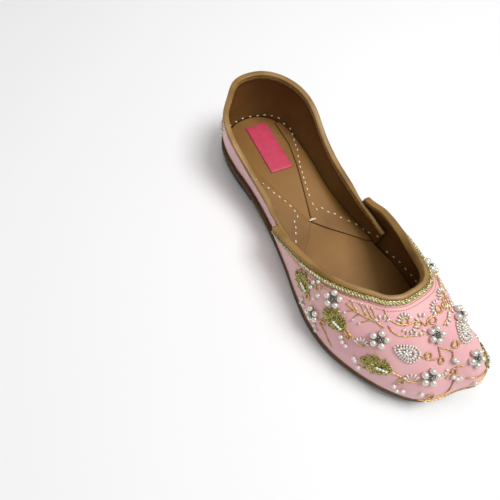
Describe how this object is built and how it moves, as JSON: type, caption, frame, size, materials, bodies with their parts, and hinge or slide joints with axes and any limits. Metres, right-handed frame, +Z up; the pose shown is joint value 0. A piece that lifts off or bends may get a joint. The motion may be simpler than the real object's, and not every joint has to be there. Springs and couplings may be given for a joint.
{
  "type": "mojari shoe",
  "caption": "Right mojari slip-on shoe: silk upper over leather, open V collar bound in leather, blunt turned-up toe, low heel, gold braid and raised pearl and gold-wire motifs.",
  "frame": {"origin": "middle of the shoe's box in plan, at the floor", "axes": "+Z up, the toe points along -Y, +X is the medial (inner) side"},
  "size_m": [0.0846, 0.2464, 0.051],
  "materials": {
    "silk": "satin silk over leather",
    "sole_leather": "vegetable tanned, layered edge",
    "heel_leather": "dyed dark edge",
    "lining_leather": "smooth tan leather",
    "label": "plain satin",
    "binding_leather": "rolled tan leather",
    "gold_braid": "metallic gold thread",
    "pearl": "pearl lustre",
    "zari": "coiled gilt wire"
  },
  "bodies": {
    "root": {"upper": "silk", "outsole": "sole_leather", "heel_lift": "heel_leather", "insole": "lining_leather", "flap_lateral": "lining_leather", "flap_medial": "lining_leather", "label": "label", "quarter_binding": "binding_leather", "vamp_binding": "binding_leather", "vamp_braid": "gold_braid", "pearl_flower_lateral_1": "pearl", "pearl_flower_medial_1": "pearl", "pearl_flower_lateral_2": "pearl", "pearl_flower_medial_2": "pearl", "pearl_flower_lateral_3": "pearl", "pearl_flower_medial_3": "pearl", "pearl_flower_lateral_4": "pearl", "pearl_flower_medial_4": "pearl", "pearl_paisley_lateral_1": "pearl", "pearl_paisley_medial_1": "pearl", "zari_leaf_lateral_1": "zari", "zari_leaf_medial_1": "zari", "zari_leaf_lateral_2": "zari", "zari_leaf_medial_2": "zari", "zari_leaf_lateral_3": "zari", "zari_leaf_medial_3": "zari", "pearl_flower_crown": "pearl"}
  },
  "joints": []
}
